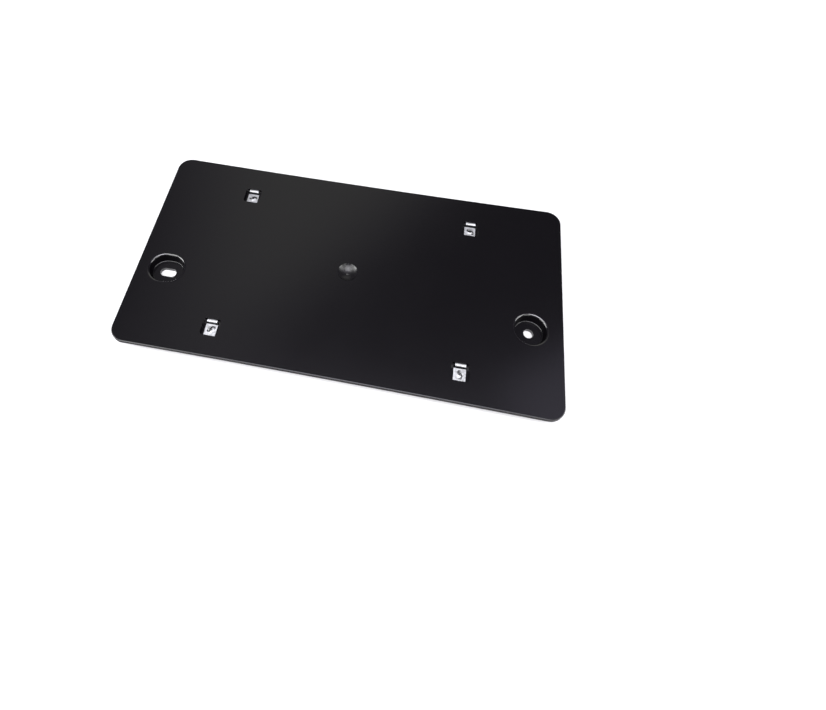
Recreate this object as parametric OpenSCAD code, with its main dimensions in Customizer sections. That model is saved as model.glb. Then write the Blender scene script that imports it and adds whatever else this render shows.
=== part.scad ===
// Number plate holder: one moulded panel with a spring clip nut in each of its four screw windows.
// X runs along the panel, Y across it and Z up, out of the face that the plate lies against.
// The undersides of the cups and of the pocket walls lie in the plane z = 0.

/* [Panel] */
// Length of the panel
panel_w = 318; // [305:1:360]
// Height of the panel
panel_h = 172; // [162:0.5:200]
// Depth of the whole moulding, from the front face to the stand-off plane
panel_depth = 10; // [9.6:0.1:14]
// Thickness of the face
face_t = 2.9; // [2.4:0.1:3.2]
// Corner radius of the outline
corner_r = 11; // [6:0.5:16]
// Radius of the rounded front edge
edge_r = 0.6; // [0.3:0.1:1.4]

/* [Screw windows] */
// Spacing of the plate screws along the panel
screw_span_x = 177.8; // [170:0.1:186]
// Spacing of the plate screws across the panel
screw_span_y = 120.65; // [116:0.05:123]
// Distance of the screw pattern's centre below the panel's middle line
pattern_drop = 3.7; // [0:0.1:6]
// Width of a window
window_w = 13; // [12:0.1:15]
// Reach of a window from its screw towards the lower edge
window_low = 6; // [5.6:0.1:8]
// Corner radius of a window
window_r = 2; // [1:0.1:3]
// Thickness of the pocket walls behind a window
pocket_t = 1.6; // [1.4:0.1:2.4]
// Thickness of the tray that a clip lies on
tray_t = 1.2; // [0.9:0.1:1.6]
// Radius of the clearance hole for the screw's tip in the tray
tip_r = 4; // [3.5:0.1:4.5]
// Thickness of the cross rib that a clip hooks over
hook_rib_t = 1.2; // [1:0.1:1.6]

/* [Clip nuts] */
// Thickness of the spring sheet
sheet_t = 0.6; // [0.4:0.05:0.8]
// Width of the threaded leaf
leaf_w = 8.8; // [8.4:0.1:10]
// Bite of the leaf's end under the lip of its window
lip_bite = 0.8; // [0.4:0.1:0.9]
// Reach of the leaf from its screw hole to the web
leaf_high = 4.4; // [4.2:0.1:5]
// Width of the saddle
saddle_w = 8; // [7:0.1:9]
// Depth of the saddle's top below the front face
saddle_sink = 0.1; // [0.05:0.05:0.4]
// Inner radius of the bend between leaf and web
bend_r = 0.5; // [0.3:0.05:0.8]
// Inner radius of the saddle's two bends
saddle_r = 0.25; // [0.2:0.01:0.3]
// Radius of the screw hole between the thread prongs, before a screw opens it
thread_r = 1.2; // [1:0.05:1.6]
// Width of the S-shaped slit
slit_w = 0.7; // [0.5:0.05:0.9]
// Radius of each half of the slit's path
slit_r = 1.2; // [1.1:0.05:1.5]
// Gap between a clip and the moulding
clip_gap = 0.1; // [0.05:0.01:0.15]

/* [Fixing cups] */
// Distance of a cup's centre from the end of the panel
cup_inset = 22.9; // [20:0.1:30]
// Distance of the cups below the panel's middle line
cup_drop = 22.3; // [10:0.1:30]
// Radius of a cup at its rim
cup_rim_r = 12.85; // [12.3:0.05:13.5]
// Radius of the rounding at the rim of a cup
cup_round = 1.7; // [0.6:0.1:2]
// Radius of a cup at its floor
cup_floor_r = 10.3; // [9:0.1:11]
// Radius of the fillet round the floor of a cup
cup_fillet = 0.6; // [0.3:0.1:1.2]
// Thickness of the floor of a cup
cup_floor_t = 3; // [2:0.1:3.4]
// Thickness of the wall of a cup
cup_t = 2; // [1.5:0.1:2.5]
// Extra length of the left cup along the panel
cup_stretch = 3.8; // [0:0.1:6]
// Radius of the round fixing hole
hole_r = 3.5; // [2.5:0.1:4.5]
// Length of the slotted fixing hole, end to end
slot_l = 12.5; // [10:0.1:14]

/* [Gate dish] */
// Radius of the dish at the middle of the face
dish_r = 7.6; // [6.8:0.1:9]
// Depth of the dish
dish_depth = 3; // [2:0.1:3.4]
// Thickness of the domed wall behind the dish
dish_t = 2; // [1.6:0.1:2.6]
// Radius of the gate mark in the dish
gate_r = 1.1; // [0.8:0.1:1.5]
// Height of the gate mark above the bottom of the dish
gate_h = 0.5; // [0.2:0.05:0.8]

/* [Back ribs] */
// Thickness of a rib
rib_t = 1.6; // [1.2:0.1:2.2]
// Height of a rib below the face
rib_h = 4.2; // [3:0.1:5]
// Slope length at a rib's end
rib_run = 6; // [4:0.5:10]
// Distance of a rib's end from the outline
rib_margin = 3; // [2:0.5:8]

/* [Hidden] */
// Fineness of round shapes
$fn = 96;
// Overrun of a cut past the face that it leaves
over = 0.5;
face_back = panel_depth - face_t;
// Levels of a clip: the leaf lies just behind the face, and the saddle just below the front of it
leaf_top = face_back - clip_gap;
leaf_foot = leaf_top - sheet_t;
saddle_top = panel_depth - saddle_sink;
// The tray lies just under the leaf, with an open space below it for the screw's tip
tray_top = leaf_foot - clip_gap;
tray_foot = tray_top - tray_t;
// The saddle straddles the cross rib, and its back leg stands between the rib and the window's edge
hook_rib_y = leaf_high + sheet_t + clip_gap;
hook_rib_top = saddle_top - sheet_t - clip_gap;
saddle_l = hook_rib_t + 2 * (sheet_t + clip_gap);
window_high = leaf_high + saddle_l + clip_gap;
window_l = window_low + window_high;
window_mid = (window_high - window_low) / 2;
// Slot in the pocket's lower wall that takes the end of the leaf
leaf_low = window_low + lip_bite;
lip_slot_w = leaf_w + 4 * clip_gap;
lip_slot_y = leaf_low + 2 * clip_gap;
cup_z = cup_floor_t;
cup_x = panel_w / 2 - cup_inset;
// The dish is a cap of a sphere, which its domed wall follows
dish_ball_r = (dish_r * dish_r + dish_depth * dish_depth) / (2 * dish_depth);
dish_ball_z = panel_depth - dish_depth + dish_ball_r;
rib_foot = face_back - rib_h;

// A flat rounded rectangle about the origin
module rounded_rect(w, h, r) {
  square([w - 2 * r, h], center = true);
  square([w, h - 2 * r], center = true);
  for (sx = [-1, 1], sy = [-1, 1])
    translate([sx * (w / 2 - r), sy * (h / 2 - r)]) circle(r);
}

// Section of the panel's outer edge, from x = 0 at the corner's centre out to x = corner_r
module edge_section() {
  square([corner_r, face_t - edge_r]);
  square([corner_r - edge_r, face_t]);
  translate([corner_r - edge_r, face_t - edge_r]) circle(edge_r);
}

// The face with its outline and its rounded front edge
module face_plate() {
  long = panel_w - 2 * corner_r;
  tall = panel_h - 2 * corner_r;
  translate([-long / 2, -tall / 2, 0]) cube([long, tall, face_t]);
  for (side = [0, 1]) {
    rotate([0, 0, 180 * side]) {
      translate([-long / 2, -tall / 2, 0]) rotate([90, 0, 90]) mirror([1, 0, 0])
        linear_extrude(long) edge_section();
      translate([long / 2, tall / 2, 0]) rotate([90, 0, 0]) linear_extrude(tall) edge_section();
      translate([long / 2, tall / 2, 0]) rotate_extrude(angle = 90) edge_section();
      translate([-long / 2, tall / 2, 0]) rotate([0, 0, 90]) rotate_extrude(angle = 90) edge_section();
    }
  }
}

// Half section of the hollow of a cup: floor fillet, drafted wall and rounded rim
module cup_section() {
  wall_top_r = cup_rim_r - cup_round;
  depth = panel_depth - cup_z;
  difference() {
    union() {
      polygon([[0, 0], [cup_floor_r - cup_fillet, 0], [cup_floor_r, cup_fillet],
               [wall_top_r, depth - cup_round], [wall_top_r, depth], [0, depth]]);
      translate([cup_floor_r - cup_fillet, cup_fillet]) circle(cup_fillet);
      translate([wall_top_r - over, depth - cup_round]) square([cup_round + over, cup_round]);
      translate([0, depth - over]) square([cup_rim_r, 2 * over]);
    }
    translate([cup_rim_r, depth - cup_round]) circle(cup_round);
  }
}

// Half section of the outside of a cup
module cup_shell_section() {
  square([cup_floor_r + cup_t, cup_z]);
  polygon([[0, cup_z], [cup_floor_r + cup_t, cup_z], [cup_rim_r + cup_t, face_back + over], [0, face_back + over]]);
}

// Turns a half section into a round shape, drawn out along X by a stretch
module stretched_turn(stretch) {
  for (s = [-1, 1])
    translate([s * stretch / 2, 0, 0]) rotate_extrude() children();
  if (stretch > 0)
    translate([-stretch / 2, 0, 0]) rotate([90, 0, 90]) linear_extrude(stretch) {
      children();
      mirror([1, 0, 0]) children();
    }
}

// A round hole, drawn out along X to a slot
module slot_hole(r, l) {
  stretch = l - 2 * r;
  for (s = [-1, 1])
    translate([s * stretch / 2, 0, -over]) cylinder(r = r, h = cup_z + 2 * over);
  if (stretch > 0)
    translate([-stretch / 2, -r, -over]) cube([stretch, 2 * r, cup_z + 2 * over]);
}

// Places its children at the left and the right cup
module at_cup(side) {
  translate([side * cup_x, -cup_drop, 0]) children();
}

// Places its children at one plate screw
module at_screw(sx, sy) {
  translate([sx * screw_span_x / 2, sy * screw_span_y / 2 - pattern_drop, 0]) children();
}

// Places its children at the four plate screws
module at_screws() {
  for (sx = [-1, 1], sy = [-1, 1])
    at_screw(sx, sy) children();
}

// Outline of a window, widened all round by a wall
module window_outline(wall) {
  translate([0, window_mid]) rounded_rect(window_w + 2 * wall, window_l + 2 * wall, window_r + wall);
}

// What is cut out of the face and the pocket at a screw: the window down to the tray but for the cross rib,
// the space below the tray, the hole for the screw's tip and the slot for the end of the leaf
module pocket_cut() {
  difference() {
    translate([0, 0, tray_top]) linear_extrude(panel_depth - tray_top + over) window_outline(0);
    translate([-window_w / 2 - over, hook_rib_y, tray_top - over])
      cube([window_w + 2 * over, hook_rib_t, hook_rib_top - tray_top + over]);
  }
  translate([0, 0, -over]) linear_extrude(tray_foot + over) window_outline(0);
  translate([0, 0, tray_foot - over]) cylinder(r = tip_r, h = tray_t + 2 * over);
  translate([-lip_slot_w / 2, -lip_slot_y, tray_top]) cube([lip_slot_w, lip_slot_y, face_back - tray_top]);
}

// A stiffening rib behind the face, of length l, with sloping ends
module rib(l) {
  translate([0, rib_t / 2, 0]) rotate([90, 0, 0]) linear_extrude(rib_t)
    polygon([[-l / 2, face_back + over], [-l / 2, face_back], [-l / 2 + rib_run, rib_foot],
             [l / 2 - rib_run, rib_foot], [l / 2, face_back], [l / 2, face_back + over]]);
}

// Ribs along X through the cups and the pockets, and across through the pockets and the middle
module back_ribs() {
  for (y = [-cup_drop, -screw_span_y / 2 - pattern_drop, screw_span_y / 2 - pattern_drop])
    translate([0, y, 0]) rib(panel_w - 2 * rib_margin);
  for (x = [-screw_span_x / 2, 0, screw_span_x / 2])
    translate([x, 0, 0]) rotate([0, 0, 90]) rib(panel_h - 2 * rib_margin);
}

// The domed wall behind the dish, up into the face
module dish_dome() {
  dome_r = dish_ball_r + dish_t;
  intersection() {
    translate([0, 0, dish_ball_z]) sphere(dome_r);
    translate([-dome_r, -dome_r, 0]) cube([2 * dome_r, 2 * dome_r, face_back + over]);
  }
}

module panel() {
  color("#262628") difference() {
    union() {
      translate([0, 0, face_back]) face_plate();
      back_ribs();
      at_screws() linear_extrude(face_back + over) window_outline(pocket_t);
      at_cup(-1) stretched_turn(cup_stretch) cup_shell_section();
      at_cup(1) stretched_turn(0) cup_shell_section();
      dish_dome();
    }
    at_screws() pocket_cut();
    at_cup(-1) translate([0, 0, cup_z]) stretched_turn(cup_stretch) cup_section();
    at_cup(1) translate([0, 0, cup_z]) stretched_turn(0) cup_section();
    at_cup(-1) slot_hole(hole_r, slot_l);
    at_cup(1) slot_hole(hole_r, 2 * hole_r);
    difference() {
      translate([0, 0, dish_ball_z]) sphere(dish_ball_r);
      cylinder(r = gate_r, h = panel_depth - dish_depth + gate_h);
    }
  }
}

// A quarter of a ring of sheet, from the angle a on, about the origin
module bend(inner, a) {
  rotate(a) intersection() {
    difference() {
      circle(inner + sheet_t);
      circle(inner);
    }
    square(inner + sheet_t + over);
  }
}

// Side view of the web, the saddle and its back leg, with y along x and z along y
module saddle_side() {
  far = leaf_high + saddle_l;
  low = leaf_high + sheet_t + saddle_r;
  bend_z = saddle_top - sheet_t - saddle_r;
  translate([leaf_high - bend_r, leaf_top + bend_r]) bend(bend_r, 270);
  translate([leaf_high, leaf_top + bend_r]) square([sheet_t, bend_z - leaf_top - bend_r]);
  translate([low, bend_z]) bend(saddle_r, 90);
  translate([low, saddle_top - sheet_t]) square([far - sheet_t - saddle_r - low, sheet_t]);
  translate([far - sheet_t - saddle_r, bend_z]) bend(saddle_r, 0);
  translate([far - sheet_t, leaf_top]) square([sheet_t, bend_z - leaf_top]);
}

// The S-shaped slit: two half rings of opposite turn, one on each side of the screw hole, that meet in it
module slit() {
  for (turn = [0, 180])
    rotate(turn) translate([slit_r, 0]) {
      intersection() {
        difference() {
          circle(slit_r + slit_w / 2);
          circle(slit_r - slit_w / 2);
        }
        translate([-slit_r - slit_w, 0]) square([2 * (slit_r + slit_w), slit_r + slit_w]);
      }
      translate([slit_r, 0]) circle(slit_w / 2);
    }
}

// A spring clip nut about the axis of its screw hole
module clip_nut() {
  color("#c9ccd0") {
    translate([0, 0, leaf_foot]) linear_extrude(sheet_t) difference() {
      translate([-leaf_w / 2, -leaf_low]) square([leaf_w, leaf_low + leaf_high - bend_r]);
      circle(thread_r);
      slit();
    }
    translate([-saddle_w / 2, 0, 0]) rotate([90, 0, 90]) linear_extrude(saddle_w) saddle_side();
  }
}

module clip_nut_upper_left() { at_screw(-1, 1) clip_nut(); }
module clip_nut_upper_right() { at_screw(1, 1) clip_nut(); }
module clip_nut_lower_left() { at_screw(-1, -1) clip_nut(); }
module clip_nut_lower_right() { at_screw(1, -1) clip_nut(); }

panel();
clip_nut_upper_left();
clip_nut_upper_right();
clip_nut_lower_left();
clip_nut_lower_right();
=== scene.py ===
"""Number plate holder: a black moulded panel with four bright spring clip nuts in its screw windows."""
import math

import bmesh
import bpy
import numpy as np
from mathutils import Matrix, Vector


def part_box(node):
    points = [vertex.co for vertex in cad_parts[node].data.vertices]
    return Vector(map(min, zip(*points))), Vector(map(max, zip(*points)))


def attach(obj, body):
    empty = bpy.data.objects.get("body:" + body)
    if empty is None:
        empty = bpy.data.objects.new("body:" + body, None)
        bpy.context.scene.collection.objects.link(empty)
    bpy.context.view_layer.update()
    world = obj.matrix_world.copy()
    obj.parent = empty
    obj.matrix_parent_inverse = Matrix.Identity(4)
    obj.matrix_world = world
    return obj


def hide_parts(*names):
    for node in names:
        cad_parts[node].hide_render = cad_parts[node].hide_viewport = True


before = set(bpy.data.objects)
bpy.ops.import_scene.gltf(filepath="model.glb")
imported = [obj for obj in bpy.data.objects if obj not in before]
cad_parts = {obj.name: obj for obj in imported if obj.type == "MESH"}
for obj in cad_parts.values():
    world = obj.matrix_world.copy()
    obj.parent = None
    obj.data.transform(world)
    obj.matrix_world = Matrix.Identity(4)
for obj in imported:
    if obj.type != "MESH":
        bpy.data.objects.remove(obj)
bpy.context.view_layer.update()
MM = 0.001

# The camera stands in front of the long lower edge, a little to the right, and looks down at the holder.
# The picture is the upper left part of a wider one, so the lens is shifted off its axis.
photo_w, photo_h = 826, 710
photo_axis_x, photo_axis_y = 320, 240
photo_focal = 604
camera_place = Vector((26.7, -231.4, 404.65)) * MM
camera_azimuth, camera_elevation, camera_roll = (math.radians(a) for a in (11.656, 56.489, -0.688))

camera_data = bpy.data.cameras.new("camera")
camera_data.lens = photo_focal / photo_w * camera_data.sensor_width
camera_data.shift_x = (photo_w / 2 - photo_axis_x) / photo_w
camera_data.shift_y = -(photo_h / 2 - photo_axis_y) / photo_w
camera_data.clip_start, camera_data.clip_end = 10 * MM, 20
camera = bpy.data.objects.new("camera", camera_data)
bpy.context.collection.objects.link(camera)
camera.matrix_world = (Matrix.Translation(camera_place) @ Matrix.Rotation(camera_azimuth, 4, "Z")
                       @ Matrix.Rotation(math.pi / 2 - camera_elevation, 4, "X")
                       @ Matrix.Rotation(camera_roll, 4, "Z"))
bpy.context.scene.camera = camera
bpy.context.scene.view_settings.view_transform = "Standard"


# The studio floor: white paper that keeps the holder's shadow. A little glow, which only the camera and the
# mirroring pieces see, turns it plain white, and fades out in the shade under the panel.
class Link:
    """An output of a node tree. An expression on links and numbers adds the Math nodes that work it out."""

    def __init__(self, tree, socket):
        self.tree, self.socket = tree, socket

    def math(self, operation, *terms):
        return add_node(self.tree, "Math", *terms, operation=operation)

    def __add__(self, other):
        return self.math("ADD", self, other)

    def __sub__(self, other):
        return self.math("SUBTRACT", self, other)

    def __rsub__(self, other):
        return self.math("SUBTRACT", other, self)

    def __mul__(self, other):
        return self.math("MULTIPLY", self, other)

    def __abs__(self):
        return self.math("ABSOLUTE", self)

    __radd__, __rmul__ = __add__, __mul__


def add_node(tree, kind, *values, output=0, sockets=None, **settings):
    """Adds a node: its type, its settings, then the values or links of its sockets, in order or by name."""
    node = tree.nodes.new("ShaderNode" + kind)
    for name, value in settings.items():
        setattr(node, name, value)
    for key, value in [*enumerate(values), *(sockets or {}).items()]:
        socket = next((s for s in node.inputs if s.identifier == key), None) or node.inputs[key]
        if isinstance(value, Link):
            tree.links.new(value.socket, socket)
        else:
            socket.default_value = value
    found = next((s for s in node.outputs if s.identifier == output), None)
    return Link(tree, found or node.outputs[output]) if len(node.outputs) else None


def fade(value, start, end, low, high):
    """Turns a value from low at start to high at end, smoothly, and holds it outside them."""
    return add_node(value.tree, "MapRange", value, start, end, low, high, interpolation_type="SMOOTHSTEP")


def new_tree(name):
    """A material and its empty node tree."""
    material = bpy.data.materials.new(name)
    material.use_nodes = True
    material.node_tree.nodes.clear()
    return material, material.node_tree


floor_reach = 6.0
floor_white, floor_glow = 0.82, 0.18
white = (1, 1, 1, 1)
shade_x, shade_y = (112 * MM, 122 * MM), (72 * MM, 80 * MM)
floor_mesh = bpy.data.meshes.new("floor")
floor_mesh.from_pydata(
    [(x * floor_reach, y * floor_reach, 0) for x, y in ((-1, -1), (1, -1), (1, 1), (-1, 1))],
    [], [(0, 1, 2, 3)])
floor = bpy.data.objects.new("floor", floor_mesh)
bpy.context.collection.objects.link(floor)
paper, tree = new_tree("white_paper")
camera_ray, glossy_ray, clear_ray = (add_node(tree, "LightPath", output=name) for name in (
    "Is Camera Ray", "Is Glossy Ray", "Is Transmission Ray"))
seen = camera_ray.math("MAXIMUM", camera_ray.math("MAXIMUM", camera_ray, glossy_ray), clear_ray)
spot = add_node(tree, "TexCoord", output="Object")
spot_x, spot_y = (add_node(tree, "SeparateXYZ", spot, output=name) for name in ("X", "Y"))
in_shade = fade(abs(spot_x), *shade_x, 1, 0) * fade(abs(spot_y), *shade_y, 1, 0)
glow = add_node(tree, "Emission", white, seen * floor_glow * (1 - in_shade))
matt = add_node(tree, "BsdfDiffuse", (floor_white, floor_white, floor_white, 1))
add_node(tree, "OutputMaterial", add_node(tree, "AddShader", matt, glow))
floor_mesh.materials.append(paper)


# The lamps: white cloths overhead and a little in front of the holder, at both of its sides and at both of its
# front corners, and a small cool window high up behind, which the near right corner of the face mirrors.
def soft_lamp(name, centre, width, height, brightness, colour=(1, 1, 1), top=(0, 0, 1)):
    """A flat lamp behind white cloth that faces the holder, with its upper edge towards top. Its brightness is
    that of its cloth, and white paper in full light has a brightness of 1. A lamp gives its cloth a quarter of
    its power over its area."""
    lamp_data = bpy.data.lights.new(name, "AREA")
    lamp_data.shape, lamp_data.size, lamp_data.size_y = "RECTANGLE", width, height
    lamp_data.energy, lamp_data.color = 4 * width * height * brightness, colour
    lamp = bpy.data.objects.new(name, lamp_data)
    centre = Vector(centre)
    away = centre.normalized()
    side = Vector(top).cross(away).normalized()
    turn = Matrix((side, away.cross(side), away)).transposed()
    lamp.matrix_world = Matrix.Translation(centre) @ turn.to_4x4()
    bpy.context.collection.objects.link(lamp)


soft_lamp("overhead_lamp", centre=(-0.10, -0.29, 1.0), width=1.30, height=0.58, brightness=3.1,
          top=(0, 1, 0))
soft_lamp("left_lamp", centre=(-0.84, -0.24, 0.52), width=0.5, height=0.44, brightness=5.4)
soft_lamp("right_lamp", centre=(0.80, -0.08, 0.60), width=0.5, height=0.75, brightness=2.7)
soft_lamp("front_left_lamp", centre=(-0.52, -0.66, 0.58), width=0.4, height=0.5, brightness=2.2)
soft_lamp("front_right_lamp", centre=(0.56, -0.62, 0.55), width=0.4, height=0.5, brightness=1.4)
soft_lamp("cool_window", centre=(0.56, 0.30, 1.0), width=0.34, height=0.34, brightness=0.42,
          colour=(0.82, 0.78, 1))

# The room is dim. Behind the holder the satin face mirrors a pale, warm patch of its wall, which ends in a
# slanting shadow on the right. The walls make a faint band at the horizon, and the ceiling glows behind the
# overhead lamp and fades out further back, which the gate dish mirrors.
room_dark, patch_glow, horizon_glow, ceiling_glow = 0.045, 0.39, 0.10, 2.3
patch_left, patch_right, patch_slant = (-0.44, -0.19), (-0.68, -0.50), 1.0
horizon = (0.25, 0.50)
ceiling_back, ceiling_low, ceiling_side = (0.02, 0.38), (0.7, 0.9), (0.12, 0.34)
room_cool, room_warm = (0.96, 0.92, 1.1, 1), (1, 1, 0.95, 1)
room = bpy.data.worlds.new("room")
room.use_nodes = True
tree = room.node_tree
tree.nodes.clear()
direction = add_node(tree, "TexCoord", output="Generated")
rightward, backward, upward = (
    add_node(tree, "SeparateXYZ", direction, output=name) for name in ("X", "Y", "Z"))
patch = fade(rightward, *patch_left, 0, 1) * fade(rightward - patch_slant * backward, *patch_right, 1, 0)
ceiling = (fade(backward, *ceiling_back, ceiling_glow, 0) * fade(upward, *ceiling_low, 0, 1)
           * fade(abs(rightward), *ceiling_side, 1, 0))
room_level = room_dark + patch_glow * patch + fade(upward, *horizon, horizon_glow, 0) + ceiling
room_tint = add_node(tree, "Mix", output="Result_Color", data_type="RGBA", sockets={
    "Factor_Float": patch, "A_Color": room_cool, "B_Color": room_warm})
add_node(tree, "OutputWorld", add_node(tree, "Background", room_tint, room_level))
bpy.context.scene.world = room


# The panel: one injection moulding in black plastic, screwed to the bumper through the floors of its two cups,
# with four windows that hold the clip nuts. The mould leaves every edge a little soft, and the long edges of
# the face have shrunk to a slight waist.
edge_soft, edge_steps = 0.2 * MM, 2
sharp_angle, flat_angle = math.radians(25), math.radians(0.4)
same_place = 0.002 * MM
waist_upper, waist_lower = 1.4 * MM, 0.9 * MM
waist_start, waist_full = 77 * MM, 82 * MM
waist_cuts = 13


def draw_in(points, half_length):
    """Draws the long edges in by a shallow parabola over their length, deepest in the middle: by waist_upper
    at the upper edge and waist_lower at the lower one, fading out to nothing before it reaches the windows."""
    x, y = points[:, 0], points[:, 1]
    hollow = np.where(y > 0, waist_upper, waist_lower) * (1 - (x / half_length) ** 2)
    share = np.clip((np.abs(y) - waist_start) / (waist_full - waist_start), 0, 1)
    points[:, 1] = y - np.sign(y) * hollow * share
    return points


panel_low, panel_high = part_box("panel")
panel_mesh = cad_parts["panel"].data.copy()
panel_mesh.name = "moulded_panel"
shape = bmesh.new()
shape.from_mesh(panel_mesh)
bmesh.ops.remove_doubles(shape, verts=shape.verts, dist=same_place)
bmesh.ops.dissolve_limit(shape, angle_limit=flat_angle, verts=shape.verts, edges=shape.edges)

# The gate, through which the plastic flows in, leaves a small raised mark on the floor of the dish in the
# middle of the face.
gate_step, gate_rise = 0.35 * MM, 0.22 * MM
level = 0.99
for face in [f for f in shape.faces if f.normal.z > level and f.calc_center_median().xy.length < gate_step
             and panel_high.z - f.calc_center_median().z > gate_step]:
    bmesh.ops.inset_individual(shape, faces=[face], thickness=gate_step, depth=gate_rise)
    bmesh.ops.inset_individual(shape, faces=[face], thickness=gate_step, depth=gate_rise / 2)

# Cuts across the panel let its long edges follow the waist.
for cut_x in np.linspace(panel_low.x, panel_high.x, waist_cuts + 2)[1:-1]:
    bmesh.ops.bisect_plane(shape, geom=[*shape.verts, *shape.edges, *shape.faces],
                           plane_co=(cut_x, 0, 0), plane_no=(1, 0, 0), dist=same_place)
shape.to_mesh(panel_mesh)
shape.free()
points = np.empty(3 * len(panel_mesh.vertices))
panel_mesh.vertices.foreach_get("co", points)
panel_mesh.vertices.foreach_set("co", draw_in(points.reshape(-1, 3), panel_high.x).ravel())
panel_mesh.polygons.foreach_set("use_smooth", np.ones(len(panel_mesh.polygons), bool))

# The upright faces along the outline and those of the cups' walls have a matt skin of their own.
side_x, side_y = 151.5 * MM, 78 * MM
cup_x, cup_y, cup_reach, cup_floor = 136.1 * MM, 22.3 * MM, 19 * MM, 3.1 * MM
upright = 0.3
middles, facing = (np.empty(3 * len(panel_mesh.polygons)) for _ in range(2))
panel_mesh.polygons.foreach_get("center", middles)
panel_mesh.polygons.foreach_get("normal", facing)
middles, facing = np.abs(middles.reshape(-1, 3)), np.abs(facing.reshape(-1, 3))
on_side = (middles[:, 0] > side_x) | (middles[:, 1] > side_y)
in_cup = np.hypot(middles[:, 0] - cup_x, middles[:, 1] - cup_y) < cup_reach
in_cup &= middles[:, 2] > cup_floor
is_matt = (on_side | in_cup) & (facing[:, 2] < upright)
panel_mesh.set_sharp_from_angle(angle=sharp_angle)
panel = bpy.data.objects.new("moulded_panel", panel_mesh)
bpy.context.collection.objects.link(panel)
soften = panel.modifiers.new("soft_edges", "BEVEL")
soften.width, soften.segments = edge_soft, edge_steps
soften.limit_method, soften.angle_limit = "ANGLE", sharp_angle
even = panel.modifiers.new("flat_faces_flat", "WEIGHTED_NORMAL")
even.keep_sharp = True

# Satin skin: cloudy and finely grained, smoother where the edges of the face are rounded, rougher in the dish.
skin_black = (0.0037, 0.0033, 0.0042, 1)
skin_rough, cloud_rough, rounding_polish, dish_rough = 0.16, 0.04, 0.05, 0.16
rounding_start, rounding_end = (0.01 * MM, 0.04 * MM), (0.5 * MM, 0.8 * MM)
dish_depth, dish_edge = (0.3 * MM, 0.8 * MM), (13 * MM, 14 * MM)
plastic, tree = new_tree("black_plastic")
place = add_node(tree, "TexCoord", output="Object")
grain = add_node(tree, "TexNoise", sockets={"Vector": place, "Scale": 1100, "Detail": 5, "Roughness": 0.7})
cloud = add_node(tree, "TexNoise", sockets={"Vector": place, "Scale": 28, "Detail": 4, "Roughness": 0.55})
depth = panel_high.z - add_node(tree, "SeparateXYZ", place, output="Z")
reach = add_node(tree, "VectorMath", place, operation="LENGTH", output="Value")
rounded = (fade(depth, *rounding_start, 0, 1) * fade(depth, *rounding_end, 1, 0)
           * fade(reach, *dish_edge, 0, 1))
in_dish = fade(depth, *dish_depth, 0, 1) * fade(reach, *dish_edge, 1, 0)
roughness = skin_rough + cloud_rough * cloud - rounding_polish * rounded + dish_rough * in_dish
bump = add_node(tree, "Bump", sockets={"Strength": 0.35, "Distance": 0.02 * MM, "Height": grain})
surface = add_node(tree, "BsdfPrincipled", sockets={
    "Base Color": skin_black, "Roughness": roughness, "IOR": 1.62, "Normal": bump,
    "Coat Weight": rounded, "Coat Roughness": 0.1, "Coat IOR": 1.6})
add_node(tree, "OutputMaterial", surface)

# Matt skin: the same black with fine pits.
matt_black = (0.0036, 0.0032, 0.0042, 1)
matt_rough, pit_rough = 0.35, 0.2
matt_skin, tree = new_tree("matt_side")
place = add_node(tree, "TexCoord", output="Object")
pits = add_node(tree, "TexNoise", sockets={"Vector": place, "Scale": 1400, "Detail": 3, "Roughness": 0.6})
pitted = add_node(tree, "Bump", sockets={"Strength": 0.3, "Distance": 0.03 * MM, "Height": pits})
surface = add_node(tree, "BsdfPrincipled", sockets={
    "Base Color": matt_black, "Roughness": matt_rough + pit_rough * pits, "IOR": 1.12, "Normal": pitted})
add_node(tree, "OutputMaterial", surface)
panel_mesh.materials.clear()
panel_mesh.materials.append(plastic)
panel_mesh.materials.append(matt_skin)
panel_mesh.polygons.foreach_set("material_index", is_matt.astype(np.int32))
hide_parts("panel")
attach(panel, "root")


# The clip nuts: each is one strip of spring steel, blanked and folded, then zinc plated. The leaf carries the
# thread prongs on either side of an S-shaped slit, and the saddle straddles the rib across the window.
sheet = 0.6 * MM
leaf_half, saddle_half = 4.3 * MM, 3.7 * MM
leaf_low, leaf_high = 6.8 * MM, 4.4 * MM
leaf_chamfer = 1.5 * MM
leaf_sink, saddle_sink = 3.0 * MM, 0.1 * MM
saddle_long = 2.6 * MM
foot_bend, head_bend, bend_steps = 0.5 * MM, 1.1 * MM, 6
# The painted shade in the fold stops this share of head_bend below the saddle's top.
fold_shade_share = 0.6
hole_radius = 1.2 * MM
slit_turns, slit_halves = (1.55 * MM, 1.2 * MM), (0.62 * MM, 0.5 * MM)
prong_rise, prong_reach = 0.55 * MM, 3.0 * MM
across_count, along_step = 64, 0.14 * MM
most_corners_in, pull_rounds, pull_step = 2, 3, 0.01 * MM
screw_span_x, screw_span_y, pattern_drop = 177.8 * MM, 120.65 * MM, 3.7 * MM
struck_at = {"upper_left": 0, "upper_right": -50, "lower_left": 25, "lower_right": -90}


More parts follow.
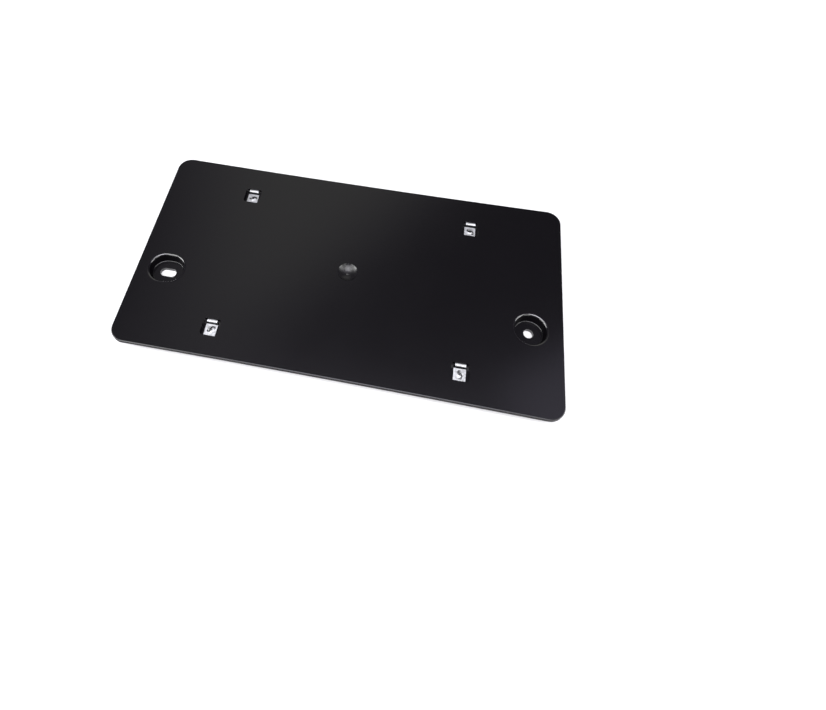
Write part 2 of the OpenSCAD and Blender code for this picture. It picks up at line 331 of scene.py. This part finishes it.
def strip_profile(face_z):
    """The folded strip seen from its side: arc lengths along the leaf, web, saddle and back leg, and the points
    there. It is straight runs joined by quarter circles, of foot_bend where it rises and head_bend over the
    saddle."""
    leaf_z, top_z = face_z - leaf_sink, face_z - saddle_sink
    far = leaf_high + saddle_long
    legs = [[(-leaf_low, leaf_z), (leaf_high - foot_bend, leaf_z)]]
    quarter = np.linspace(0, math.pi / 2, bend_steps + 1)[1:]
    legs.append([(leaf_high - foot_bend + foot_bend * math.sin(a), leaf_z + foot_bend * (1 - math.cos(a)))
                 for a in quarter])
    legs.append([(leaf_high + head_bend * (1 - math.cos(a)), top_z - head_bend * (1 - math.sin(a)))
                 for a in [0, *quarter]])
    legs.append([(far - head_bend * (1 - math.sin(a)), top_z - head_bend * (1 - math.cos(a)))
                 for a in [0, *quarter]])
    legs.append([(far, leaf_z)])
    corners = np.array([p for leg in legs for p in leg])
    s = np.concatenate([[0], np.cumsum(np.hypot(*np.diff(corners, axis=0).T))])
    along = np.unique(np.concatenate([np.arange(0, s[1], along_step), s[1:]]))
    return np.interp(along, s, corners[:, 0]), np.interp(along, s, corners[:, 1])


def slit_distance(x, y, angle):
    """Distance outside the S-shaped slit and the screw hole, negative inside them: the slit is two half rings
    of opposite turn that meet in the hole, turned by the angle at which this clip's prongs were struck."""
    x, y = x * math.cos(angle) + y * math.sin(angle), y * math.cos(angle) - x * math.sin(angle)
    distance = np.hypot(x, y) - hole_radius
    for side, turn, half in zip((1, -1), slit_turns, slit_halves):
        u, v = side * x - turn, side * y
        arc = np.abs(np.hypot(u, v) - turn)
        ends = np.minimum(np.hypot(u - turn, v), np.hypot(u + turn, v))
        distance = np.minimum(distance, np.where(v >= 0, arc, ends) - half)
    return distance


def clip_mesh(name, centre_x, centre_y, face_z, angle):
    """A clip as a flat pattern on a grid of (across, along), cut along the slit, then folded over its profile.
    Grid points beside the cut are drawn onto it down the slope of the distance function, and those round the
    hole are raised by prong_rise times the smooth step of their nearness to it."""
    profile_y, profile_z = strip_profile(face_z)
    across = np.linspace(-1, 1, across_count + 1)
    half = np.where(profile_z > face_z - leaf_sink + foot_bend, saddle_half, leaf_half)
    half = half - np.clip(leaf_chamfer - leaf_low - profile_y, 0, None)
    x = across[None, :] * half[:, None]
    y = np.repeat(profile_y[:, None], len(across), 1)
    z = np.repeat(profile_z[:, None], len(across), 1)
    flat = profile_z == face_z - leaf_sink
    inside = slit_distance(x, y, angle) < 0
    inside[~flat] = False
    ids = np.arange(x.size).reshape(x.shape)
    quads = np.stack([ids[:-1, :-1], ids[:-1, 1:], ids[1:, 1:], ids[1:, :-1]], -1).reshape(-1, 4)
    cut = inside.ravel()[quads].sum(1) > most_corners_in
    kept, gone = quads[~cut], quads[cut]
    border = np.intersect1d(kept, gone)
    x, y = x.ravel(), y.ravel()
    for _ in range(pull_rounds):
        bx, by = x[border], y[border]
        distance = slit_distance(bx, by, angle)
        slope_x = (slit_distance(bx + pull_step, by, angle)
                   - slit_distance(bx - pull_step, by, angle)) / (2 * pull_step)
        slope_y = (slit_distance(bx, by + pull_step, angle)
                   - slit_distance(bx, by - pull_step, angle)) / (2 * pull_step)
        x[border] -= distance * slope_x
        y[border] -= distance * slope_y
    near = np.clip(1 - np.hypot(x, y) / prong_reach, 0, 1)
    z = z.ravel() + prong_rise * near * near * (3 - 2 * near) * np.repeat(flat, len(across))
    used, faces = np.unique(kept, return_inverse=True)
    mesh = bpy.data.meshes.new(name)
    mesh.from_pydata(np.stack([x + centre_x, y + centre_y, z], -1)[used], [], faces.reshape(-1, 4))
    mesh.polygons.foreach_set("use_smooth", np.ones(len(mesh.polygons), bool))
    # Painted shade: the web and the foot of the head bend are marked, so that the zinc there turns near black
    # like the shadow the panel's walls cast.
    fold_shade_mask = ((profile_y > leaf_high - foot_bend) & (profile_y < leaf_high + head_bend / 2)
               & (profile_z < face_z - saddle_sink - fold_shade_share * head_bend))
    fold = mesh.attributes.new("fold", "FLOAT", "POINT")
    fold.data.foreach_set("value", np.repeat(fold_shade_mask, len(across))[used] * 1.0)
    return mesh


# Zinc plate: dented and mottled, with greyer stains, and painted shade in the fold, which the panel's walls
# shade.
zinc_bright, zinc_stained = (0.78, 0.79, 0.81, 1), (0.56, 0.57, 0.57, 1)
fold_painted_shade = (0.015, 0.015, 0.016, 1)
stain_edge = (0.42, 0.66)
zinc_rough, mottle_rough = 0.48, 0.2
zinc, tree = new_tree("zinc_plate")
place = add_node(tree, "TexCoord", output="Object")
mottle = add_node(tree, "TexNoise", sockets={"Vector": place, "Scale": 700, "Detail": 3, "Roughness": 0.6})
dents = add_node(tree, "Bump", sockets={"Strength": 0.6, "Distance": 0.06 * MM, "Height": mottle})
stain = add_node(tree, "TexNoise", sockets={"Vector": place, "Scale": 420, "Detail": 3, "Roughness": 0.55})
fold_shade_mask = add_node(tree, "Attribute", output="Fac", attribute_name="fold")
plate_colour = add_node(tree, "Mix", output="Result_Color", data_type="RGBA", sockets={
    "Factor_Float": fade(stain, *stain_edge, 0, 1), "A_Color": zinc_bright, "B_Color": zinc_stained})
# Painted shade: the marked fold takes a near-black colour in place of the zinc.
plate_colour = add_node(tree, "Mix", output="Result_Color", data_type="RGBA", sockets={
    "Factor_Float": fold_shade_mask, "A_Color": plate_colour, "B_Color": fold_painted_shade})
surface = add_node(tree, "BsdfPrincipled", sockets={
    "Base Color": plate_colour, "Metallic": 1, "Normal": dents,
    "Roughness": zinc_rough + mottle_rough * mottle})
add_node(tree, "OutputMaterial", surface)

# Sheared edge: metal torn by the blanking tool, coloured near black as painted shade in the slit and along the
# strip.
sheared_painted_shade = (0.05, 0.05, 0.053, 1)
sheared_rough, tear_rough = 0.35, 0.3
sheared_shade, tree = new_tree("sheared_edge_shade")
place = add_node(tree, "TexCoord", output="Object")
tear = add_node(tree, "TexNoise", sockets={"Vector": place, "Scale": 2500, "Detail": 2, "Roughness": 0.5})
surface = add_node(tree, "BsdfPrincipled", sockets={
    "Base Color": sheared_painted_shade, "Metallic": 1, "Roughness": sheared_rough + tear_rough * tear})
add_node(tree, "OutputMaterial", surface)

face_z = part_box("panel")[1].z
for high, vertical in ((1, "upper"), (-1, "lower")):
    for right, horizontal in ((-1, "left"), (1, "right")):
        name = f"clip_{vertical}_{horizontal}"
        mesh = clip_mesh(name, right * screw_span_x / 2, high * screw_span_y / 2 - pattern_drop, face_z,
                         math.radians(struck_at[f"{vertical}_{horizontal}"]))
        clip = bpy.data.objects.new(name, mesh)
        bpy.context.collection.objects.link(clip)
        wall = clip.modifiers.new("sheet", "SOLIDIFY")
        # The sheet's cut edges take the second material, whose near-black colour is painted shade.
        wall.thickness, wall.offset, wall.material_offset_rim = sheet, -1, 1
        mesh.materials.append(zinc)
        mesh.materials.append(sheared_shade)
        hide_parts(f"clip_nut_{vertical}_{horizontal}")
        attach(clip, "root")
